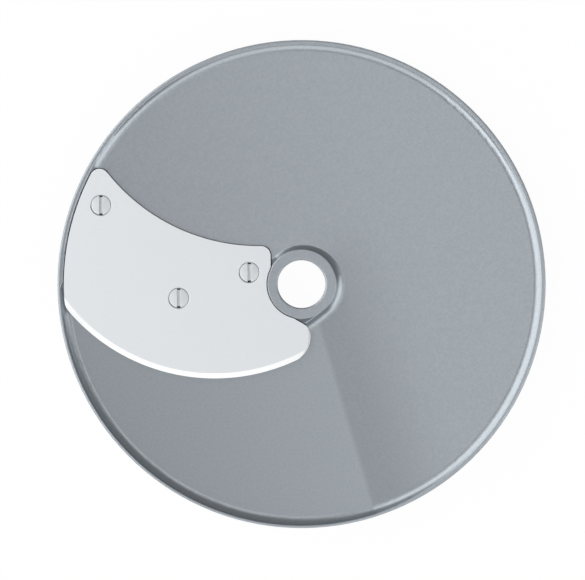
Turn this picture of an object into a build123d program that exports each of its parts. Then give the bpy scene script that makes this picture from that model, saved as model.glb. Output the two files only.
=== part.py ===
from build123d import *
from math import acos, atan2, cos, degrees, radians, sin, sqrt, tan
import os

# Slicing disc of a vegetable cutter, food side up: a cast disc, a crescent blade and three screws.
# Sizes are in millimetres. The origin lies on the bore's axis, in the plane that the disc rests on.
# Angles in plan run anticlockwise from +X, and the disc turns the same way at work.

# Disc as a whole
disc_diameter = 205.0
disc_height = 12.0
bore_diameter = 20.2
bore_chamfer = 0.4

# Food side of the casting
hub_ring_diameter = 28.2
rim_top_width = 1.0
rim_edge_chamfer = 0.5
foot_radius = 3.9
plate_depth = 1.6
slice_thickness = 1.5

# Ramp that leads the food down to the blade, and the crease where it meets the platform
crease_angle = 286.5
crease_offset = 2.4
crease_round = 20.0
ramp_run = 24.0
ramp_round = 480.0
ramp_fade_offset = 10.0
hub_foot_sink = 0.05

# Underside of the casting
plate_thickness = 3.0
skirt_thickness = 3.2
skirt_edge_chamfer = 0.5
hub_boss_diameter = 38.0
underside_chamfer = 1.5
rib_width = 3.0
rib_height = 3.5
rib_first_angle = 300.0
rib_pitch_angle = 40.0
rib_count = 6
drive_slot_width = 6.2
drive_slot_depth = 4.5
drive_slot_angle = 0.0

# Blade: a crescent between two arcs
blade_thickness = 1.5
cutting_radius = 80.8
edge_overhang = 11.7
cutting_centre_angle = 131.6
trailing_radius = 81.3
trailing_low_point = (-17.9, 15.9)
blade_rim_gap = 1.7
blade_ring_gap = 0.65
blade_inner_x = -13.0
notch_end_angle = 256.0
tip_side_x = 3.8
tip_notch_width = 3.75
tip_side_length = 3.4
tip_angle = -64.4
tip_corner_round = 5.6
heel_round = 6.0
outer_corner_round = 4.0
inner_corner_round = 4.0
bevel_width = 2.2
edge_land = 0.1
tip_bevel_width = 0.8
tip_bevel_start = -60.0
tip_bevel_sweep = 95.0

# Seat of the blade and the throat that the slices fall through
pocket_clearance = 0.4
seat_corner_round = 5.0
throat_overlap = 1.0
throat_setback = 1.0
throat_end_angle = 1.5
throat_corner_round = 2.5
throat_draft = 10.0
throat_rim_gap = 2.3

# Slotted screws with raised countersunk heads
screw_diameter = 4.9
screw_hole_diameter = 5.1
countersink_diameter = 9.1
countersink_angle = 90.0
head_diameter = 8.1
head_raise = 0.5
slot_width = 1.4
slot_depth = 1.1
screw_length = 6.0
outer_screw_inset = 9.3
outer_screw_turn = 9.8
middle_screw_radius = 51.9
middle_screw_angle = 186.5
inner_screw_outset = 8.4
inner_screw_angle = 167.4

# How far a cut runs past the face that it leaves, and how close two lengths are to count as equal
cut_margin = 1.0
same_length = 0.01

# Levels above the resting plane
rim_top = disc_height
plate_top = rim_top - plate_depth
blade_top = rim_top
seat_level = blade_top - blade_thickness
platform_level = seat_level - slice_thickness
raw_top = rim_top + foot_radius + plate_depth
pad_bottom = platform_level - plate_thickness
rib_bottom = pad_bottom - rib_height

# Radii from the bore's axis
disc_radius = disc_diameter / 2
rim_wall_radius = disc_radius - rim_top_width
hub_wall_radius = hub_ring_diameter / 2
skirt_inner_radius = disc_radius - skirt_thickness
blade_outer_radius = rim_wall_radius - blade_rim_gap
notch_radius = hub_wall_radius + blade_ring_gap
hub_boss_radius = hub_boss_diameter / 2
throat_reach = skirt_inner_radius - throat_rim_gap


def polar(radius, angle, centre=(0.0, 0.0)):
    """Point in plan at a radius and an angle from a centre."""
    x = centre[0] + radius * cos(radians(angle))
    y = centre[1] + radius * sin(radians(angle))
    return (x, y)


def direction_from(centre, point):
    """Angle in plan of the line from a centre to a point, from 0 up to 360 degrees."""
    return degrees(atan2(point[1] - centre[1], point[0] - centre[0])) % 360


def crossing(centre, radius, reach):
    """Point on the left side of the disc where a circle meets the circle of radius reach round the axis."""
    distance = sqrt(centre[0] ** 2 + centre[1] ** 2)
    swing = acos((distance**2 + reach**2 - radius**2) / (2 * distance * reach))
    return polar(reach, direction_from((0.0, 0.0), centre) + degrees(swing))


# The seat's front wall is concentric with the cutting edge and runs off the hub ring at a tangent.
seat_front_radius = cutting_radius - edge_overhang
cutting_centre = polar(seat_front_radius - hub_wall_radius, cutting_centre_angle)
seat_tangent_angle = cutting_centre_angle + 180
seat_rim_corner = crossing(cutting_centre, seat_front_radius, rim_wall_radius)

# Corners of the blade
trailing_centre = (trailing_low_point[0], trailing_low_point[1] + trailing_radius)
heel_corner = crossing(cutting_centre, cutting_radius, blade_outer_radius)
outer_corner = crossing(trailing_centre, trailing_radius, blade_outer_radius)
outer_start = direction_from((0, 0), outer_corner)
tip_corner = (tip_side_x, -notch_radius - tip_notch_width)

# Upright plane that crosses the crease, where the ramp's section is drawn
across_crease = crease_angle + 90
crease_plane = Plane(
    origin=(*polar(crease_offset, across_crease), 0),
    x_dir=(*polar(1, across_crease), 0),
    z_dir=(*polar(1, crease_angle), 0),
)

# Behind the blade the ramp's section swings round an upright axis on that line, so that it fades out
fade_centre = polar(ramp_fade_offset, across_crease)
ramp_steepness = (plate_top - platform_level) / ramp_run
fade_start_level = platform_level + (ramp_fade_offset - crease_offset) * ramp_steepness
hub_foot_radius = hub_wall_radius + foot_radius
hub_foot_level = platform_level + (hub_foot_radius - crease_offset) * ramp_steepness - hub_foot_sink

# Screws in plan: one at each end of the blade and one near the middle of its cutting edge
screw_centres = {
    "outer": polar(blade_outer_radius - outer_screw_inset, outer_start + outer_screw_turn),
    "middle": polar(middle_screw_radius, middle_screw_angle),
    "inner": polar(hub_wall_radius + inner_screw_outset, inner_screw_angle),
}
screw_heads = [(*centre, blade_top) for centre in screw_centres.values()]


# Outline of the blade in plan, from the heel along the cutting edge and back round
with BuildSketch() as blade_plan:
    heel_angle = direction_from(cutting_centre, heel_corner)
    outer_sweep = direction_from((0, 0), heel_corner) - outer_start
    trailing_start = direction_from(trailing_centre, outer_corner)
    trailing_end = 360 - degrees(acos((blade_inner_x - trailing_centre[0]) / trailing_radius))
    notch_start = degrees(acos(blade_inner_x / notch_radius))
    tip_side_end = (tip_corner[0], tip_corner[1] - tip_side_length)
    with BuildLine():
        cutting_arc = CenterArc(cutting_centre, cutting_radius, heel_angle, 360 + tip_angle - heel_angle)
        outer_arc = CenterArc((0, 0), blade_outer_radius, outer_start, outer_sweep)
        trailing_arc = CenterArc(
            trailing_centre, trailing_radius, trailing_start, trailing_end - trailing_start
        )
        notch_arc = CenterArc((0, 0), notch_radius, notch_start, notch_end_angle - notch_start)
        Line(trailing_arc @ 1, notch_arc @ 0)
        Polyline(notch_arc @ 1, tip_corner, tip_side_end)
        tip_arc = TangentArc(tip_side_end, cutting_arc @ 1, tangent=(0, -1))
    make_face()
    for corner, corner_round in (
        (heel_corner, heel_round),
        (outer_corner, outer_corner_round),
        (trailing_arc @ 1, inner_corner_round),
        (tip_corner, tip_corner_round),
    ):
        fillet(blade_plan.vertices().sort_by_distance(corner)[0], corner_round)

# Pocket that the blade lies in: its outline and a clearance all round
with BuildSketch() as pocket_plan:
    offset(blade_plan.sketch, amount=pocket_clearance)

# Plan of the food side in front of the blade: from the ramp round to the seat's front wall
with BuildSketch() as front_plan:
    seat_rim_angle = direction_from((0, 0), seat_rim_corner)
    seat_start = direction_from(cutting_centre, seat_rim_corner)
    with BuildLine():
        Line(polar(hub_wall_radius, across_crease), polar(rim_wall_radius, across_crease))
        CenterArc((0, 0), rim_wall_radius, across_crease, seat_rim_angle - across_crease)
        CenterArc(cutting_centre, seat_front_radius, seat_start, seat_tangent_angle - seat_start)
        CenterArc((0, 0), hub_wall_radius, seat_tangent_angle, across_crease - seat_tangent_angle)
    make_face()
    fillet(front_plan.vertices().sort_by_distance(seat_rim_corner)[0], seat_corner_round)

# Plan of the rest of the food side, behind the seat's front wall
with BuildSketch() as back_plan:
    first_angle = across_crease - 360
    with BuildLine():
        Line(polar(hub_wall_radius, first_angle), polar(rim_wall_radius, first_angle))
        CenterArc((0, 0), rim_wall_radius, first_angle, seat_rim_angle - first_angle)
        CenterArc(cutting_centre, seat_front_radius, seat_start, seat_tangent_angle - seat_start)
        CenterArc((0, 0), hub_wall_radius, first_angle, seat_tangent_angle - first_angle)
    make_face()


def keeps_radius(edge, radius):
    """True for an edge that stays at one distance from the bore's axis."""
    points = [edge @ share for share in (0, 0.5, 1)]
    return all(abs(sqrt(point.X**2 + point.Y**2) - radius) < same_length for point in points)


def is_low(edge):
    """True for an edge that lies no higher than the main plate."""
    return edge.bounding_box().max.Z < plate_top + same_length


def is_upright(face):
    """True for a wall that stands square to the resting plane."""
    return abs(face.normal_at().Z) < same_length


# Space over the platform, the ramp and the main plate, with a hollow foot along every wall
with BuildPart() as front_space:
    with BuildSketch(crease_plane):
        with BuildLine():
            front_surface = FilletPolyline(
                (-disc_diameter, platform_level),
                (0, platform_level),
                (ramp_run, plate_top),
                (disc_diameter, plate_top),
                radius=(crease_round, ramp_round),
            )
            Polyline(
                front_surface @ 1, (disc_diameter, raw_top), (-disc_diameter, raw_top), front_surface @ 0
            )
        make_face()
    extrude(amount=disc_diameter, both=True)
    with BuildSketch(Plane.XY.offset(platform_level)):
        add(front_plan.sketch)
    extrude(amount=raw_top, mode=Mode.INTERSECT)
    walls = front_space.faces().filter_by(GeomType.CYLINDER).filter_by(is_upright)
    fillet(walls.edges().filter_by(is_low), foot_radius)

# Space behind the blade: the ramp fades out in the main plate, and a turned foot runs round the hub ring
with BuildPart() as back_space:
    with BuildSketch(Plane(origin=(*fade_centre, 0), x_dir=crease_plane.x_dir, z_dir=crease_plane.z_dir)):
        with BuildLine():
            fade_surface = FilletPolyline(
                (0, fade_start_level),
                (crease_offset + ramp_run - ramp_fade_offset, plate_top),
                (disc_diameter, plate_top),
                radius=ramp_round,
            )
            Polyline(fade_surface @ 1, (disc_diameter, raw_top), (0, raw_top), fade_surface @ 0)
        make_face()
    revolve(axis=Axis((*fade_centre, 0), (0, 0, 1)))
    with BuildSketch(Plane.XY.offset(platform_level)):
        add(back_plan.sketch)
    extrude(amount=raw_top, mode=Mode.INTERSECT)
    rim_edges = back_space.edges().filter_by(lambda edge: keeps_radius(edge, rim_wall_radius))
    fillet(rim_edges.filter_by(is_low), foot_radius)
    with BuildSketch(Plane.XZ):
        with BuildLine():
            foot_arc = CenterArc((hub_foot_radius, hub_foot_level + foot_radius), foot_radius, 180, 90)
            Polyline(
                foot_arc @ 1,
                (hub_foot_radius, platform_level),
                (bore_diameter / 2, platform_level),
                (bore_diameter / 2, raw_top),
                (hub_wall_radius, raw_top),
                foot_arc @ 0,
            )
        make_face()
    revolve(axis=Axis.Z, mode=Mode.SUBTRACT)

# Hollow of the underside: it follows the food side at the plate's thickness
with BuildPart() as underside_space:
    with BuildSketch(crease_plane):
        with BuildLine():
            roof = FilletPolyline(
                (-disc_diameter, platform_level - plate_thickness),
                (0, platform_level - plate_thickness),
                (ramp_run, plate_top - plate_thickness),
                (disc_diameter, plate_top - plate_thickness),
                radius=(crease_round, ramp_round),
            )
            Polyline(roof @ 1, (disc_diameter, -cut_margin), (-disc_diameter, -cut_margin), roof @ 0)
        make_face()
    extrude(amount=disc_diameter, both=True)
    with BuildSketch(Plane.XY.offset(-cut_margin)):
        Circle(skirt_inner_radius)
        Circle(hub_boss_radius, mode=Mode.SUBTRACT)
    extrude(amount=raw_top, mode=Mode.INTERSECT)
    walls = underside_space.faces().filter_by(GeomType.CYLINDER).filter_by(is_upright)
    chamfer(walls.edges().filter_by(lambda edge: (edge @ 0.5).Z > 0), underside_chamfer)

# The casting: one piece from rim to hub
with BuildPart() as disc_body:
    with BuildSketch():
        Circle(disc_radius)
        Circle(bore_diameter / 2, mode=Mode.SUBTRACT)
    extrude(amount=raw_top)
    add(front_space.part, mode=Mode.SUBTRACT)
    add(back_space.part, mode=Mode.SUBTRACT)
    add(underside_space.part, mode=Mode.SUBTRACT)

    # Pad that carries the blade, thick enough for the screws' threads
    with BuildSketch(Plane.XY.offset(pad_bottom)):
        add(pocket_plan.sketch)
        add(back_plan.sketch, mode=Mode.INTERSECT)
    extrude(amount=seat_level - pad_bottom)

    # Ribs that run from the hub to the skirt
    rib_length = skirt_inner_radius - hub_boss_radius + 2 * cut_margin
    rib_middle = (skirt_inner_radius + hub_boss_radius) / 2
    with BuildSketch(Plane.XY.offset(rib_bottom)):
        with PolarLocations(
            rib_middle, rib_count, rib_first_angle, rib_pitch_angle * (rib_count - 1), endpoint=True
        ):
            Rectangle(rib_length, rib_width)
    extrude(amount=rib_height + plate_thickness / 2)

    # Pocket over the seat
    with BuildSketch(Plane.XY.offset(seat_level)):
        add(pocket_plan.sketch)
    extrude(amount=raw_top, mode=Mode.SUBTRACT)

    # Throat under the cutting edge, wider below so that slices fall clear
    throat_outer = cutting_radius - throat_overlap
    throat_inner = seat_front_radius + throat_setback
    throat_radii = (throat_outer, throat_inner)
    throat_points = [crossing(cutting_centre, radius, throat_reach) for radius in throat_radii]
    throat_starts = [direction_from(cutting_centre, point) for point in throat_points]
    rim_side_angles = [direction_from((0, 0), point) for point in throat_points]
    throat_end = 360 + tip_angle + throat_end_angle
    with BuildSketch(Plane.XY.offset(seat_level)):
        with BuildLine():
            sweeps = [throat_end - start for start in throat_starts]
            outer_side = CenterArc(cutting_centre, throat_outer, throat_starts[0], sweeps[0])
            inner_side = CenterArc(cutting_centre, throat_inner, throat_starts[1], sweeps[1])
            CenterArc((0, 0), throat_reach, rim_side_angles[0], rim_side_angles[1] - rim_side_angles[0])
            Line(outer_side @ 1, inner_side @ 1)
        throat_face = make_face()
        fillet(throat_face.vertices(), throat_corner_round)
    extrude(amount=-raw_top, taper=-throat_draft, mode=Mode.SUBTRACT)

    # Slot across the hub's underside for the cross pin of the drive shaft
    with BuildSketch():
        Rectangle(hub_boss_diameter + 2 * cut_margin, drive_slot_width, rotation=drive_slot_angle)
    extrude(amount=drive_slot_depth, mode=Mode.SUBTRACT)

    # Threaded holes, with the mouth of each countersink
    with Locations(*screw_heads):
        CounterSinkHole(
            screw_hole_diameter / 2, countersink_diameter / 2, counter_sink_angle=countersink_angle
        )

    # Rim and hub ring are turned flat at the top, and the edges that a hand meets are broken
    split(bisect_by=Plane.XY.offset(rim_top), keep=Keep.BOTTOM)
    outer_edges = disc_body.edges().filter_by(lambda edge: keeps_radius(edge, disc_radius))
    chamfer(outer_edges.group_by(Axis.Z)[-1], rim_edge_chamfer)
    chamfer(outer_edges.group_by(Axis.Z)[0], skirt_edge_chamfer)
    bore_edges = disc_body.edges().filter_by(lambda edge: keeps_radius(edge, bore_diameter / 2))
    chamfer(bore_edges.group_by(Axis.Z)[-1], bore_chamfer)
disc_body.part.label = "disc_body"
os.makedirs("parts", exist_ok=True)
export_step(disc_body.part, "parts/disc_body.step")

# The blade: flat steel, its upper side ground to a bevel that turns up round the inner tip
with BuildPart() as slicing_blade:
    with BuildSketch(Plane.XY.offset(seat_level)):
        add(blade_plan.sketch)
    extrude(amount=blade_thickness)
    tip_centre = tip_arc.arc_center
    for centre, radius, width, start, sweep in (
        (cutting_centre, cutting_radius, bevel_width, 0, 360),
        ((tip_centre.X, tip_centre.Y), tip_arc.radius, tip_bevel_width, tip_bevel_start, tip_bevel_sweep),
    ):
        start_plane = Plane(
            origin=(*centre, 0), x_dir=(*polar(1, start), 0), z_dir=(*polar(1, start - 90), 0)
        )
        with BuildSketch(start_plane):
            with BuildLine():
                Polyline(
                    (radius - width, blade_top),
                    (radius, seat_level + edge_land),
                    (radius + width, seat_level + edge_land),
                    (radius + width, blade_top),
                    close=True,
                )
            make_face()
        revolve(axis=Axis((*centre, 0), (0, 0, 1)), revolution_arc=sweep, mode=Mode.SUBTRACT)
    with Locations(*screw_heads):
        CounterSinkHole(
            screw_hole_diameter / 2, countersink_diameter / 2, counter_sink_angle=countersink_angle
        )
slicing_blade.part.label = "slicing_blade"
export_step(slicing_blade.part, "parts/slicing_blade.step")

# The screws: a cone under a low raised head, a slot and a plain shank
cone_steepness = 1 / tan(radians(countersink_angle / 2))
head_edge = blade_top - (countersink_diameter - head_diameter) / 2 * cone_steepness
shank_start = blade_top - (countersink_diameter - screw_diameter) / 2 * cone_steepness
screw_end = blade_top - screw_length
for name, centre in screw_centres.items():
    with BuildPart() as blade_screw:
        with BuildSketch(Plane(origin=(*centre, 0), x_dir=(1, 0, 0), z_dir=(0, -1, 0))):
            with BuildLine():
                Polyline(
                    (0, screw_end),
                    (screw_diameter / 2, screw_end),
                    (screw_diameter / 2, shank_start),
                    (head_diameter / 2, head_edge),
                    (head_diameter / 2, head_edge + head_raise),
                    (0, head_edge + head_raise),
                    close=True,
                )
            make_face()
        revolve(axis=Axis((*centre, 0), (0, 0, 1)))
        with BuildSketch(Plane.XY.offset(head_edge + head_raise)):
            with Locations(centre):
                Rectangle(slot_width, head_diameter + cut_margin)
        extrude(amount=-slot_depth, mode=Mode.SUBTRACT)
    blade_screw.part.label = f"blade_screw_{name}"
    export_step(blade_screw.part, f"parts/blade_screw_{name}.step")
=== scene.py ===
# %% [markdown]
# # Slicing disc of a vegetable cutter
# The disc spins in a kitchen machine, and its crescent blade shaves slices off the food that is pressed on
# it. The solid parts come from a CAD model and already have their true shapes. This file gives every surface
# its finish, models the three small screws in full, and sets up a camera, lamps and a white floor.
# The shapes are loaded first, because all that follows is placed by them. Blender counts in metres.

# %% Load the solid parts
from math import cos, pi, radians, sin

import bpy
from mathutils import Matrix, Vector


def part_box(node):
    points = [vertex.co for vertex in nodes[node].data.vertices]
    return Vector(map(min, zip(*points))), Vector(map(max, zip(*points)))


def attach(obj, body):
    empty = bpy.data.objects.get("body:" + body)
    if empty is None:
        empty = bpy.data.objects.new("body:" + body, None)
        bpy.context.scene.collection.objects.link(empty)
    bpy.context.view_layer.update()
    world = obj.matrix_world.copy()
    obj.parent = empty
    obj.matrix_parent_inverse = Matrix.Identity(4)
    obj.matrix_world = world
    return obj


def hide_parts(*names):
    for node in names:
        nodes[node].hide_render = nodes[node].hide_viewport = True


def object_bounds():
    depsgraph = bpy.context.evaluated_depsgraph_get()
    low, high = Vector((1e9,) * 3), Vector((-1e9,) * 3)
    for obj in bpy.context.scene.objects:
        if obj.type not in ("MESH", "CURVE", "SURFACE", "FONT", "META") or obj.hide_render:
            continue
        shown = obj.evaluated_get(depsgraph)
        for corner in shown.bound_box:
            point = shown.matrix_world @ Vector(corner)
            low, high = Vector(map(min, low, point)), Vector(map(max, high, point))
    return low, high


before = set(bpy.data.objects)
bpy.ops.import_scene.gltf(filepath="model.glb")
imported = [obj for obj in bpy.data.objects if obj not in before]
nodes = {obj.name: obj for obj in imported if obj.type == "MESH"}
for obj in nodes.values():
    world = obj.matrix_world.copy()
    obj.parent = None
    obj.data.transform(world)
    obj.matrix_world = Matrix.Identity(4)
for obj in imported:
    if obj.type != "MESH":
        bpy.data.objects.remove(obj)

cad_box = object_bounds()
print("parts:", sorted(nodes))
print("size of the whole disc in metres:", tuple(cad_box[1] - cad_box[0]))

# %% [markdown]
# A maker thinks in millimetres and picks colours as the hex codes of a screen, while Blender's shaders add
# up light, which runs on a linear scale. A screen's code has to be bent back to that scale, or every colour
# would render too pale. One constant and one small function do both translations.

# %% Millimetres and screen colours
MM = 0.001


def linear(hex_colour):
    """Linear RGBA of an sRGB colour written as #RRGGBB."""
    channels = [int(hex_colour[place:place + 2], 16) / 255 for place in (1, 3, 5)]
    return [c / 12.92 if c <= 0.04045 else ((c + 0.055) / 1.055) ** 2.4 for c in channels] + [1.0]


print("mid grey #808080 in linear light:", [round(c, 3) for c in linear("#808080")])

# %% [markdown]
# A material is a tree of nodes. They could be wired line by line, but then each link takes a line of its own
# and the recipe gets lost. One function adds a node with its settings and its links instead, so that a
# finish reads like a list. An input is called by its name, or by its number where a node has several inputs
# of one name. The mix node has the most of these, so its numbers get names of their own here.

# %% Helpers for materials
FACTOR = 0
NUMBER_A = 2
NUMBER_B = 3
COLOUR_A = 6
COLOUR_B = 7
MIXED_NUMBER = 0
MIXED_COLOUR = 2


def new_material(name):
    """A material with an empty node tree."""
    material = bpy.data.materials.new(name)
    material.use_nodes = True
    material.node_tree.nodes.clear()
    return material


def add_node(material, kind, inputs, **settings):
    """Adds a node. Each input gets a link if it is given another node's output, and otherwise a value."""
    node = material.node_tree.nodes.new(kind)
    for name, value in settings.items():
        setattr(node, name, value)
    for name, value in inputs.items():
        if isinstance(value, bpy.types.NodeSocket):
            material.node_tree.links.new(value, node.inputs[name])
        else:
            node.inputs[name].default_value = value
    return node


print("helpers ready:", new_material.__name__, "and", add_node.__name__)

# %% [markdown]
# ## The casting's coat
# The big part is cast aluminium under a baked grey coat with metal flakes in it. From a step away it is an
# even satin blue grey, and close by it sparkles faintly. The flakes are a noise pattern that shifts the
# colour a little from grain to grain. Real flakes are about 0.05 mm, far below a pixel here, so the pattern
# is drawn 0.9 mm coarse to show at all. Noise keeps mostly to the middle of its range, so a map range
# stretches it before it mixes the two greys.

# %% Flakes in the coat
FLAKE_SIZE = 0.9 * MM
DARK_COAT = "#A7AEB4"
LIGHT_COAT = "#B2B9BF"
NOISE_LOW = 0.3
NOISE_HIGH = 0.7
coat = new_material("grey_flake_coat")
coat_place = add_node(coat, "ShaderNodeTexCoord", {})
flakes = add_node(
    coat, "ShaderNodeTexNoise",
    {"Vector": coat_place.outputs["Object"], "Scale": 1 / FLAKE_SIZE, "Detail": 3.0, "Roughness": 0.6},
)
flake_spread = add_node(
    coat, "ShaderNodeMapRange",
    {"Value": flakes.outputs["Fac"], "From Min": NOISE_LOW, "From Max": NOISE_HIGH},
)
coat_colour = add_node(
    coat, "ShaderNodeMix",
    {FACTOR: flake_spread.outputs["Result"], COLOUR_A: linear(DARK_COAT), COLOUR_B: linear(LIGHT_COAT)},
    data_type="RGBA",
)
print("flakes drawn at", FLAKE_SIZE / MM, "mm")

# %% [markdown]
# The hub ring's top and the rim's top were turned flat on a lathe before the coat went on, and the tool's
# fine rings still show through. A wave pattern of rings round the bore's axis makes them, and a mask keeps
# them to the two turned lands: nearer to the axis than the ring's edge, or further out than the rim's. The
# real feed is about 0.2 mm a turn and is drawn 0.8 mm wide, or it would be finer than a pixel. At a scale of
# one, Blender's wave runs through 20 radians in a metre, so the scale is worked out from that.

# %% Turned lands
RING_EDGE = 14.05 * MM
RIM_EDGE = 101.5 * MM
TURNED_PITCH = 0.8 * MM
WAVE_RADIANS = 20
coat_split = add_node(coat, "ShaderNodeSeparateXYZ", {"Vector": coat_place.outputs["Object"]})
coat_flat = add_node(
    coat, "ShaderNodeCombineXYZ", {"X": coat_split.outputs["X"], "Y": coat_split.outputs["Y"]}
)
from_axis = add_node(coat, "ShaderNodeVectorMath", {0: coat_flat.outputs["Vector"]}, operation="LENGTH")
on_ring = add_node(
    coat, "ShaderNodeMath", {0: from_axis.outputs["Value"], 1: RING_EDGE}, operation="LESS_THAN"
)
on_rim = add_node(
    coat, "ShaderNodeMath", {0: from_axis.outputs["Value"], 1: RIM_EDGE}, operation="GREATER_THAN"
)
turned = add_node(
    coat, "ShaderNodeMath", {0: on_ring.outputs["Value"], 1: on_rim.outputs["Value"]}, operation="MAXIMUM"
)
rings = add_node(
    coat, "ShaderNodeTexWave",
    {
        "Vector": coat_flat.outputs["Vector"],
        "Scale": 2 * pi / (WAVE_RADIANS * TURNED_PITCH),
        "Distortion": 0.4,
    },
    wave_type="RINGS", rings_direction="Z",
)
turned_height = add_node(
    coat, "ShaderNodeMath", {0: rings.outputs["Fac"], 1: turned.outputs["Value"]}, operation="MULTIPLY"
)
print("turned lands inside", RING_EDGE / MM, "mm and outside", RIM_EDGE / MM, "mm")

# %% [markdown]
# The blade lies in a pocket that is a hair larger than itself, so a thin line of the pocket's floor shows
# all round it. That narrow gap lies in shade, and the shade is painted onto its floor as a dark colour,
# deepest at the hub and at the rim and lighter in between. This painted shade is what makes the blade look
# set in. The floor is the only level part of the casting at the height of the blade's underside, so height
# and tilt together find it. The tilt is read from the surface's normal, whose height is 1 on a level face
# and 0 on an upright one. The distance from the axis then says how dark the painted shade is.

# %% Painted shade on the floor of the blade's pocket
blade_low, blade_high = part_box("slicing_blade")
POCKET_FLOOR = blade_low.z
FLOOR_TOLERANCE = 0.04 * MM
LEVEL_ENOUGH = 0.998
LIGHTER_SHADE_MIDDLE = 58 * MM
LIGHTER_SHADE_REACH = 36 * MM
# Painted shade: the two colours below stand for the shade in the narrow gap round the blade.
DEEP_GAP_SHADE = "#2C2F32"
LIGHT_GAP_SHADE = "#7C8186"
coat_tilt = add_node(coat, "ShaderNodeSeparateXYZ", {"Vector": coat_place.outputs["Normal"]})
at_floor_height = add_node(
    coat, "ShaderNodeMath",
    {0: coat_split.outputs["Z"], 1: POCKET_FLOOR, 2: FLOOR_TOLERANCE},
    operation="COMPARE",
)
is_level = add_node(
    coat, "ShaderNodeMath", {0: coat_tilt.outputs["Z"], 1: LEVEL_ENOUGH}, operation="GREATER_THAN"
)
shaded_pocket_floor = add_node(
    coat, "ShaderNodeMath",
    {0: at_floor_height.outputs["Value"], 1: is_level.outputs["Value"]},
    operation="MULTIPLY",
)
lighter_shade_band = add_node(
    coat, "ShaderNodeMath",
    {0: from_axis.outputs["Value"], 1: LIGHTER_SHADE_MIDDLE, 2: LIGHTER_SHADE_REACH},
    operation="COMPARE",
)
# Painted shade: the pocket floor is darkened where the gap lies in shade, most at the hub and the rim.
painted_gap_shade = add_node(
    coat, "ShaderNodeMix",
    {FACTOR: lighter_shade_band.outputs["Value"], COLOUR_A: linear(DEEP_GAP_SHADE), COLOUR_B: linear(LIGHT_GAP_SHADE)},
    data_type="RGBA",
)
coat_with_gap_shade = add_node(
    coat, "ShaderNodeMix",
    {
        FACTOR: shaded_pocket_floor.outputs["Value"],
        COLOUR_A: coat_colour.outputs[MIXED_COLOUR],
        COLOUR_B: painted_gap_shade.outputs[MIXED_COLOUR],
    },
    data_type="RGBA",
)
print("pocket floor at", round(POCKET_FLOOR / MM, 3), "mm")

# %% [markdown]
# Away from the lands, the cast skin under the coat is very slightly uneven, so a lamp's reflection has a
# soft and faintly mottled edge. The coat also rounds every sharp edge a little, and such an edge shows as a
# thin line of light. A bevel node fakes that rounding in the shading, and two bump nodes after it add the
# reliefs. Each one's distance is a real height, and its strength says how much of that height to draw.

# %% Relief of the coat
COAT_ROUNDING = 0.5 * MM
SKIN_SIZE = 1.6 * MM
SKIN_HEIGHT = 0.015 * MM
TURNED_HEIGHT = 0.02 * MM
rounded = add_node(coat, "ShaderNodeBevel", {"Radius": COAT_ROUNDING}, samples=8)
skin = add_node(
    coat, "ShaderNodeTexNoise",
    {"Vector": coat_place.outputs["Object"], "Scale": 1 / SKIN_SIZE, "Detail": 2.0},
)
skin_relief = add_node(
    coat, "ShaderNodeBump",
    {
        "Height": skin.outputs["Fac"],
        "Normal": rounded.outputs["Normal"],
        "Strength": 0.3,
        "Distance": SKIN_HEIGHT,
    },
)
turned_relief = add_node(
    coat, "ShaderNodeBump",
    {
        "Height": turned_height.outputs["Value"],
        "Normal": skin_relief.outputs["Normal"],
        "Strength": 0.5,
        "Distance": TURNED_HEIGHT,
    },
)
coat_shader = add_node(
    coat, "ShaderNodeBsdfPrincipled",
    {
        "Base Color": coat_with_gap_shade.outputs[MIXED_COLOUR],
        "Normal": turned_relief.outputs["Normal"],
        "Metallic": 0.85,
        "Roughness": 0.31,
    },
)
add_node(coat, "ShaderNodeOutputMaterial", {"Surface": coat_shader.outputs["BSDF"]})
print("edges look rounded by", COAT_ROUNDING / MM, "mm")

# %% [markdown]
# ## The blade
# The blade is stainless steel, cut from 1.5 mm sheet and blasted with fine beads, which leaves it bright but
# dead matt. Its cutting edge was then ground from above, and that bevel is far smoother and flashes white.
# Two materials could do it, but the blade is one part, so one material looks at the surface's own tilt. Up
# to 8 degrees off level it is all blasted, and from 18 degrees on it is all ground, which are the two normal
# heights below. The countersinks lean at 45 degrees and were drilled before the blasting, so they are taken
# out of the ground part again.

# %% Where the blade is ground
GROUND_FROM = 0.99
ALL_GROUND = 0.95
COUNTERSINK_TILT = cos(radians(45))
TILT_TOLERANCE = 0.1
steel = new_material("blasted_stainless_steel")
steel_place = add_node(steel, "ShaderNodeTexCoord", {})
tilt = add_node(steel, "ShaderNodeSeparateXYZ", {"Vector": steel_place.outputs["Normal"]})
leaning = add_node(
    steel, "ShaderNodeMapRange",
    {"Value": tilt.outputs["Z"], "From Min": GROUND_FROM, "From Max": ALL_GROUND},
)
countersunk = add_node(
    steel, "ShaderNodeMath",
    {0: tilt.outputs["Z"], 1: COUNTERSINK_TILT, 2: TILT_TOLERANCE},
    operation="COMPARE",
)
ground = add_node(
    steel, "ShaderNodeMath",
    {0: leaning.outputs["Result"], 1: countersunk.outputs["Value"]},
    operation="SUBTRACT", use_clamp=True,
)
print("countersinks lean to a normal height of", round(COUNTERSINK_TILT, 3))

# %% [markdown]
# The blasted face is a bright grey with hardly any pattern. Its bead marks are about 0.1 mm across, so they
# are drawn coarser and very faint, which keeps the large face from looking printed.

# %% Blasted face
BEAD_SIZE = 0.7 * MM
DARK_BLASTED = "#E8ECEF"
LIGHT_BLASTED = "#EFF2F5"
beads = add_node(
    steel, "ShaderNodeTexNoise",
    {"Vector": steel_place.outputs["Object"], "Scale": 1 / BEAD_SIZE, "Detail": 2.0},
)
blasted_colour = add_node(
    steel, "ShaderNodeMix",
    {FACTOR: beads.outputs["Fac"], COLOUR_A: linear(DARK_BLASTED), COLOUR_B: linear(LIGHT_BLASTED)},
    data_type="RGBA",
)
print("bead marks drawn at", BEAD_SIZE / MM, "mm")
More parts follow.
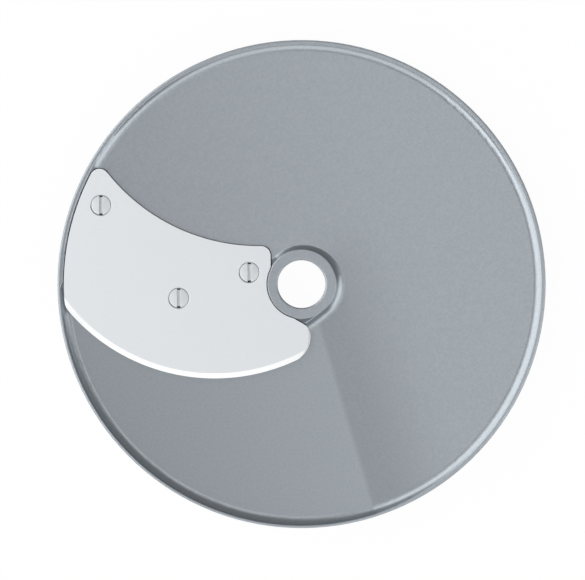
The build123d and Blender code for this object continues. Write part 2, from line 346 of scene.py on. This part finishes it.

# %% [markdown]
# Deep in each countersink, down to the edge of the screw's head and under it, the steel lies in shade. That
# shade is painted into the colour, and it peeps out at the two ends of each screw's slot as a small dark
# square.
# A map range turns height into painted shade: none at the blade's top, and all of it a little under the edge
# of the head's cone.

# %% Painted shade deep in the countersinks
BLADE_TOP = blade_high.z
FULL_SHADE_HEIGHT = 11.3 * MM
# Painted shade: this near-black colour stands for the shade deep in the countersinks.
COUNTERSINK_SHADE = "#34373A"
steel_split = add_node(steel, "ShaderNodeSeparateXYZ", {"Vector": steel_place.outputs["Object"]})
depth_shade = add_node(
    steel, "ShaderNodeMapRange",
    {"Value": steel_split.outputs["Z"], "From Min": BLADE_TOP, "From Max": FULL_SHADE_HEIGHT},
    interpolation_type="SMOOTHSTEP",
)
# Painted shade: the mask puts that dark colour into the countersinks below the blade's top.
shaded_countersink = add_node(
    steel, "ShaderNodeMath",
    {0: depth_shade.outputs["Result"], 1: countersunk.outputs["Value"]},
    operation="MULTIPLY",
)
blasted_or_shaded = add_node(
    steel, "ShaderNodeMix",
    {
        FACTOR: shaded_countersink.outputs["Value"],
        COLOUR_A: blasted_colour.outputs[MIXED_COLOUR],
        COLOUR_B: linear(COUNTERSINK_SHADE),
    },
    data_type="RGBA",
)
print("grime from", round(BLADE_TOP / MM, 3), "mm down to", FULL_SHADE_HEIGHT / MM, "mm")

# %% [markdown]
# The grinding wheel ran across the edge, so its lines point from the cutting edge towards the middle of the
# edge's own circle. A pattern that follows them needs the angle round that middle: the position is moved
# there, and the arctangent of its two parts is the angle. A noise on the angle alone draws rays.

# %% Grinding lines
CUTTING_CENTRE = (-36.55 * MM, 41.14 * MM, 0.0)
CUTTING_RADIUS = 80.8 * MM
GRIND_PITCH = 0.6 * MM
DARK_GROUND = "#F4F6F7"
LIGHT_GROUND = "#FFFFFF"
round_centre = add_node(
    steel, "ShaderNodeVectorMath",
    {0: steel_place.outputs["Object"], 1: CUTTING_CENTRE},
    operation="SUBTRACT",
)
centre_split = add_node(steel, "ShaderNodeSeparateXYZ", {"Vector": round_centre.outputs["Vector"]})
grind_angle = add_node(
    steel, "ShaderNodeMath",
    {0: centre_split.outputs["Y"], 1: centre_split.outputs["X"]},
    operation="ARCTAN2",
)
grind_lines = add_node(
    steel, "ShaderNodeTexNoise",
    {"W": grind_angle.outputs["Value"], "Scale": CUTTING_RADIUS / GRIND_PITCH, "Detail": 2.0},
    noise_dimensions="1D",
)
ground_colour = add_node(
    steel, "ShaderNodeMix",
    {FACTOR: grind_lines.outputs["Fac"], COLOUR_A: linear(DARK_GROUND), COLOUR_B: linear(LIGHT_GROUND)},
    data_type="RGBA",
)
print("grinding lines drawn", GRIND_PITCH / MM, "mm apart")

# %% [markdown]
# The last step joins the blasted and the ground finish in one shader. Fine scratches send light all ways, as
# paint does, so the ground steel is drawn as only partly a mirror. The steep bevel round the blade's tip was
# ground by hand on a coarse wheel and is drawn quite matt: the share of mirror falls with the normal's
# height, from the flat bevel of the long edge to the steep one.

# %% Finish of the blade
BLASTED_ROUGHNESS = 0.5
GROUND_ROUGHNESS = 0.28
FLAT_BEVEL = 0.85
STEEP_BEVEL = 0.5
FLAT_BEVEL_MIRROR = 0.45
STEEP_BEVEL_MIRROR = 0.0
steel_colour = add_node(
    steel, "ShaderNodeMix",
    {
        FACTOR: ground.outputs["Value"],
        COLOUR_A: blasted_or_shaded.outputs[MIXED_COLOUR],
        COLOUR_B: ground_colour.outputs[MIXED_COLOUR],
    },
    data_type="RGBA",
)
steel_roughness = add_node(
    steel, "ShaderNodeMapRange",
    {"Value": ground.outputs["Value"], "To Min": BLASTED_ROUGHNESS, "To Max": GROUND_ROUGHNESS},
)
ground_mirror = add_node(
    steel, "ShaderNodeMapRange",
    {
        "Value": tilt.outputs["Z"],
        "From Min": FLAT_BEVEL,
        "From Max": STEEP_BEVEL,
        "To Min": FLAT_BEVEL_MIRROR,
        "To Max": STEEP_BEVEL_MIRROR,
    },
)
steel_mirror = add_node(
    steel, "ShaderNodeMix",
    {FACTOR: ground.outputs["Value"], NUMBER_A: 1.0, NUMBER_B: ground_mirror.outputs["Result"]},
)
steel_shader = add_node(
    steel, "ShaderNodeBsdfPrincipled",
    {
        "Base Color": steel_colour.outputs[MIXED_COLOUR],
        "Roughness": steel_roughness.outputs["Result"],
        "Metallic": steel_mirror.outputs[MIXED_NUMBER],
    },
)
add_node(steel, "ShaderNodeOutputMaterial", {"Surface": steel_shader.outputs["BSDF"]})
print("roughness from", BLASTED_ROUGHNESS, "where blasted to", GROUND_ROUGHNESS, "where ground")

# %% [markdown]
# ## The screws' steel
# The screws are turned stainless steel, tumbled until all tool marks are gone, which leaves them almost as
# matt as the blade. A metal's colour and roughness are nearly all there is to it. A noise makes some places
# a little smoother than others, as handling does.

# %% Tumbled steel
SCUFF_SIZE = 0.8 * MM
DARK_TUMBLED = "#D5D9DB"
LIGHT_TUMBLED = "#E3E6E8"
SCREW_SMOOTHEST = 0.52
SCREW_ROUGHEST = 0.64
screw_steel = new_material("tumbled_stainless_steel")
screw_place = add_node(screw_steel, "ShaderNodeTexCoord", {})
scuffs = add_node(
    screw_steel, "ShaderNodeTexNoise",
    {"Vector": screw_place.outputs["Object"], "Scale": 1 / SCUFF_SIZE, "Detail": 3.0},
)
screw_colour = add_node(
    screw_steel, "ShaderNodeMix",
    {FACTOR: scuffs.outputs["Fac"], COLOUR_A: linear(DARK_TUMBLED), COLOUR_B: linear(LIGHT_TUMBLED)},
    data_type="RGBA",
)
screw_roughness = add_node(
    screw_steel, "ShaderNodeMapRange",
    {"Value": scuffs.outputs["Fac"], "To Min": SCREW_SMOOTHEST, "To Max": SCREW_ROUGHEST},
)
screw_shader = add_node(
    screw_steel, "ShaderNodeBsdfPrincipled",
    {
        "Base Color": screw_colour.outputs[MIXED_COLOUR],
        "Roughness": screw_roughness.outputs["Result"],
        "Metallic": 1.0,
    },
)
add_node(screw_steel, "ShaderNodeOutputMaterial", {"Surface": screw_shader.outputs["BSDF"]})
print("scuffs drawn at", SCUFF_SIZE / MM, "mm")

# %% [markdown]
# The two big parts keep their CAD shapes and only change their material. A part can hold several materials
# in slots, and these parts need one slot each, so the slots are emptied first.

# %% Dress the casting and the blade
def dress(piece, material):
    """Puts one material on the whole of a piece."""
    piece.data.materials.clear()
    piece.data.materials.append(material)


dress(nodes["disc_body"], coat)
dress(nodes["slicing_blade"], steel)
print("dressed: disc_body and slicing_blade")

# %% [markdown]
# ## One screw, turned like the real one
# The CAD model has plain stand-ins for the screws. The real ones have a thread, a cone under the head, a low
# domed top and a slot with softened edges. A lathe makes a screw as a row of circles, each with a radius and
# a height, and so can Blender: a flat disc is the screw's end, and it is extruded up and scaled ring by
# ring. So the screw is written down as a list of rings first, as long as its stand-in. The thread is drawn
# as rings too, because in its hole nobody can see that a real one climbs: each turn is deepest at a quarter
# of the pitch and full again at three quarters. The dome is part of a ball.

# %% Sizes of a screw
plain_low, plain_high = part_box("blade_screw_outer")
SCREW_END = plain_low.z
SHANK_RADIUS = 2.45 * MM
THREAD_ROOT = 2.05 * MM
THREAD_PITCH = 0.8 * MM
THREAD_START = 6.5 * MM
THREAD_TURNS = 4
ROOT_SHARE = 0.25
CREST_SHARE = 0.75
CONE_START = 9.9 * MM
HEAD_RADIUS = 4.05 * MM
HEAD_EDGE = 11.5 * MM
DOME_EDGE = 11.75 * MM
HEAD_TOP = plain_high.z
DOME_SHARES = (0.92, 0.8, 0.65, 0.45, 0.25, 0.1)
dome_rise = HEAD_TOP - DOME_EDGE
dome_radius = (HEAD_RADIUS ** 2 + dome_rise ** 2) / (2 * dome_rise)
profile = [(SHANK_RADIUS, THREAD_START + (CREST_SHARE - 1) * THREAD_PITCH)]
for turn in range(THREAD_TURNS):
    turn_start = THREAD_START + turn * THREAD_PITCH
    profile.append((THREAD_ROOT, turn_start + ROOT_SHARE * THREAD_PITCH))
    profile.append((SHANK_RADIUS, turn_start + CREST_SHARE * THREAD_PITCH))
profile += [(SHANK_RADIUS, CONE_START), (HEAD_RADIUS, HEAD_EDGE), (HEAD_RADIUS, DOME_EDGE)]
for share in DOME_SHARES:
    ring_radius = share * HEAD_RADIUS
    sag = dome_radius - (dome_radius ** 2 - ring_radius ** 2) ** 0.5
    profile.append((ring_radius, HEAD_TOP - sag))
print("rings along the screw:", len(profile), "dome radius in mm:", round(dome_radius / MM, 2))

# %% [markdown]
# In edit mode the top face stays selected after each extrusion, so the next ring starts from it. Scaling
# about the axis sets its radius. At the end all faces are told which side is outside.

# %% Turn the screw
CIRCLE_POINTS = 48
END_RADIUS = 2.0 * MM
bpy.ops.mesh.primitive_circle_add(
    vertices=CIRCLE_POINTS, radius=END_RADIUS, fill_type="NGON", location=(0, 0, SCREW_END)
)
blank = bpy.context.object
blank.name = "screw_blank"
bpy.ops.object.mode_set(mode="EDIT")
bpy.ops.mesh.select_mode(type="FACE")
bpy.ops.mesh.select_all(action="SELECT")
last_radius = END_RADIUS
last_height = SCREW_END
for radius, height in profile:
    bpy.ops.mesh.extrude_region_move(TRANSFORM_OT_translate={"value": (0, 0, height - last_height)})
    widen = radius / last_radius
    bpy.ops.transform.resize(value=(widen, widen, 1), center_override=(0, 0, height))
    last_radius = radius
    last_height = height
bpy.ops.mesh.select_all(action="SELECT")
bpy.ops.mesh.normals_make_consistent(inside=False)
bpy.ops.object.mode_set(mode="OBJECT")
print("blank:", len(blank.data.polygons), "faces")

# %% [markdown]
# A saw cuts the slot right across the head. In Blender that is a box and a Boolean modifier, which takes the
# box out of the screw. The screws in the photograph were all driven home with the slot pointing up the
# picture, so the box is narrow from left to right and longer than the head is wide.

# %% Cut the slot
SLOT_WIDTH = 1.4 * MM
SLOT_FLOOR = 10.9 * MM
SAW_REACH = 10 * MM
bpy.ops.mesh.primitive_cube_add(size=1, location=(0, 0, SLOT_FLOOR + SAW_REACH / 2))
saw = bpy.context.object
bpy.ops.transform.resize(value=(SLOT_WIDTH, SAW_REACH, SAW_REACH))
bpy.ops.object.transform_apply(location=True, rotation=False, scale=True)
bpy.ops.object.select_all(action="DESELECT")
blank.select_set(True)
bpy.context.view_layer.objects.active = blank
bpy.ops.object.transform_apply(location=True, rotation=False, scale=False)
bpy.ops.object.modifier_add(type="BOOLEAN")
cut = blank.modifiers[-1]
cut.object = saw
cut.operation = "DIFFERENCE"
cut.solver = "EXACT"
bpy.ops.object.modifier_apply(modifier=cut.name)
bpy.data.objects.remove(saw)
print("slotted blank:", len(blank.data.polygons), "faces")

# %% [markdown]
# A narrow bevel on every sharp edge stands for the wear of tumbling, and catches a thin line of light.
# Smooth shading would bend the light across the whole head from there, so the last modifier lets the large
# faces decide how the light falls. An edge that turns by more than the first angle below gets the bevel, and
# one that still turns by more than the second is shaded as a sharp edge.

# %% Soften the edges
WORN_WIDTH = 0.08 * MM
WORN_ANGLE = radians(38)
CREASE_ANGLE = radians(35)
bpy.ops.object.modifier_add(type="BEVEL")
soften = blank.modifiers[-1]
soften.width = WORN_WIDTH
soften.segments = 2
soften.limit_method = "ANGLE"
soften.angle_limit = WORN_ANGLE
bpy.ops.object.modifier_apply(modifier=soften.name)
bpy.ops.object.shade_smooth_by_angle(angle=CREASE_ANGLE)
bpy.ops.object.modifier_add(type="WEIGHTED_NORMAL")
flatten = blank.modifiers[-1]
flatten.keep_sharp = True
bpy.ops.object.modifier_apply(modifier=flatten.name)
print("finished screw:", len(blank.data.polygons), "faces")

# %% [markdown]
# The disc has three of these screws. Each is a copy with its own mesh, moved to the middle of the plain
# screw that it stands for. Applying the move puts the place into the mesh, so that the object itself sits at
# the origin as the CAD parts do.

# %% Put a screw in each hole
for place_name in ("outer", "middle", "inner"):
    low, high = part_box("blade_screw_" + place_name)
    bpy.ops.object.select_all(action="DESELECT")
    blank.select_set(True)
    bpy.context.view_layer.objects.active = blank
    bpy.ops.object.duplicate(linked=False)
    screw = bpy.context.object
    screw.name = "slotted_screw_" + place_name
    screw.data.name = screw.name
    screw.location = ((low.x + high.x) / 2, (low.y + high.y) / 2, 0)
    bpy.ops.object.transform_apply(location=True, rotation=False, scale=False)
    dress(screw, screw_steel)
    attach(screw, "root")
    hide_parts("blade_screw_" + place_name)
    print(screw.name, "top at", round(max(vertex.co.z for vertex in screw.data.vertices) / MM, 3), "mm")
bpy.data.objects.remove(blank)

# %% [markdown]
# ## Camera
# The photograph looks straight down on the disc, a little off its middle. One of its pixels covers 0.42 mm
# at the rim's top, which sets the view's width there. From 1.2 m up the lens length follows from that width
# and the sensor's. A long lens keeps the rim's walls from leaning, as in the photograph.

# %% Camera
IMAGE_WIDTH = 585
IMAGE_HEIGHT = 580
DISC_CENTRE_PIXEL = (301.6, 284.05)
PIXEL = 0.41974 * MM
SENSOR_WIDTH = 36.0
CAMERA_DISTANCE = 1200 * MM
camera_data = bpy.data.cameras.new("camera")
camera_data.sensor_width = SENSOR_WIDTH
camera_data.lens = SENSOR_WIDTH * CAMERA_DISTANCE / (IMAGE_WIDTH * PIXEL)
camera = bpy.data.objects.new("camera", camera_data)
bpy.context.scene.collection.objects.link(camera)
camera.location = (
    (IMAGE_WIDTH / 2 - DISC_CENTRE_PIXEL[0]) * PIXEL,
    (DISC_CENTRE_PIXEL[1] - IMAGE_HEIGHT / 2) * PIXEL,
    cad_box[1].z + CAMERA_DISTANCE,
)
bpy.context.scene.camera = camera
print("lens in mm:", round(camera_data.lens, 1))

# %% [markdown]
# ## Floor
# The disc lies on white. More lamplight would burn out the blade before the floor turned white, so the floor
# glows by itself for the rays that come from the camera, and for those that metal mirrors or glass lets
# through. A little plain paper is mixed in, which keeps the disc's soft shadow. All other rays meet plain
# paper. The floor is four metres wide, so that its edge never shows.

# %% Floor
FLOOR_SIZE = 4.0
GLOW_SHARE = 0.96
PAPER_COLOUR = "#FAFAFA"
GLOW_COLOUR = "#FFFFFF"
bpy.ops.mesh.primitive_plane_add(size=FLOOR_SIZE, location=(0, 0, 0))
floor = bpy.context.object
floor.name = "floor"
floor_paper = new_material("white_paper")
rays = add_node(floor_paper, "ShaderNodeLightPath", {})
seen_or_mirrored = add_node(
    floor_paper, "ShaderNodeMath",
    {0: rays.outputs["Is Camera Ray"], 1: rays.outputs["Is Glossy Ray"]},
    operation="MAXIMUM",
)
direct_looks = add_node(
    floor_paper, "ShaderNodeMath",
    {0: seen_or_mirrored.outputs["Value"], 1: rays.outputs["Is Transmission Ray"]},
    operation="MAXIMUM",
)
glowing = add_node(
    floor_paper, "ShaderNodeMath", {0: direct_looks.outputs["Value"], 1: GLOW_SHARE}, operation="MULTIPLY"
)
paper = add_node(floor_paper, "ShaderNodeBsdfDiffuse", {"Color": linear(PAPER_COLOUR)})
glow = add_node(floor_paper, "ShaderNodeEmission", {"Color": linear(GLOW_COLOUR), "Strength": 1.0})
paper_mix = add_node(
    floor_paper, "ShaderNodeMixShader",
    {0: glowing.outputs["Value"], 1: paper.outputs["BSDF"], 2: glow.outputs["Emission"]},
)
add_node(floor_paper, "ShaderNodeOutputMaterial", {"Surface": paper_mix.outputs["Shader"]})
dress(floor, floor_paper)
print("floor at height", floor.location.z)

# %% [markdown]
# ## Light
# Light that comes from all sides at once lifts the shadows a little. In Blender it is the world, a sky
# without end. It stays dim here, because metal shows it as an even grey veil.

# %% World
WORLD_STRENGTH = 0.17
WORLD_COLOUR = "#FFFFFF"
world = bpy.data.worlds.new("studio")
bpy.context.scene.world = world
world.use_nodes = True
sky = world.node_tree.nodes["Background"]
sky.inputs["Color"].default_value = linear(WORLD_COLOUR)
sky.inputs["Strength"].default_value = WORLD_STRENGTH
print("world strength:", WORLD_STRENGTH)

# %% [markdown]
# Metal shows the lamps more than its own colour, so their places come from the highlights. The hollow foot
# of the rim acts as a curved mirror: it is bright where it faces left, front and lower right, and dark where
# it faces the upper right. So large soft lamps stand on the bright sides and none stands at the upper right.
# The overhead lamp hangs above the camera and to its right, and hardly to its left, so the ramp, which is
# tilted a little left, comes out a shade darker than the level plate. A lamp's place is given as a
# direction, and its power is worked out from its area, so that a larger lamp is no less bright.

# %% Lamps
LAMP_DISTANCE = 2.0


def softbox(name, azimuth, elevation, width, height, brightness):
    """A rectangular lamp that faces the disc, in degrees and metres. One of brightness 1 looks white."""
    lamp_data = bpy.data.lights.new(name, "AREA")
    lamp_data.shape = "RECTANGLE"
    lamp_data.size = width
    lamp_data.size_y = height
    lamp_data.energy = brightness * width * height * pi
    lamp = bpy.data.objects.new(name, lamp_data)
    bpy.context.scene.collection.objects.link(lamp)
    level = cos(radians(elevation))
    towards = Vector(
        (cos(radians(azimuth)) * level, sin(radians(azimuth)) * level, sin(radians(elevation)))
    )
    lamp.location = LAMP_DISTANCE * towards
    lamp.rotation_euler = towards.to_track_quat("Z", "Y").to_euler()
    print(name, "at", [round(part, 2) for part in lamp.location])


softbox("overhead_lamp", azimuth=17, elevation=83, width=1.8, height=0.65, brightness=0.88)
softbox("left_lamp", azimuth=168, elevation=35, width=3.7, height=2.8, brightness=1.62)
softbox("front_lamp", azimuth=262, elevation=36, width=3.0, height=2.1, brightness=1.0)
softbox("right_lamp", azimuth=341, elevation=36, width=1.55, height=2.0, brightness=1.4)

# %% [markdown]
# ## End
# The Standard view shows the colours as they were mixed, without a film look.

# %% Finish with the Standard view
bpy.context.scene.view_settings.view_transform = "Standard"
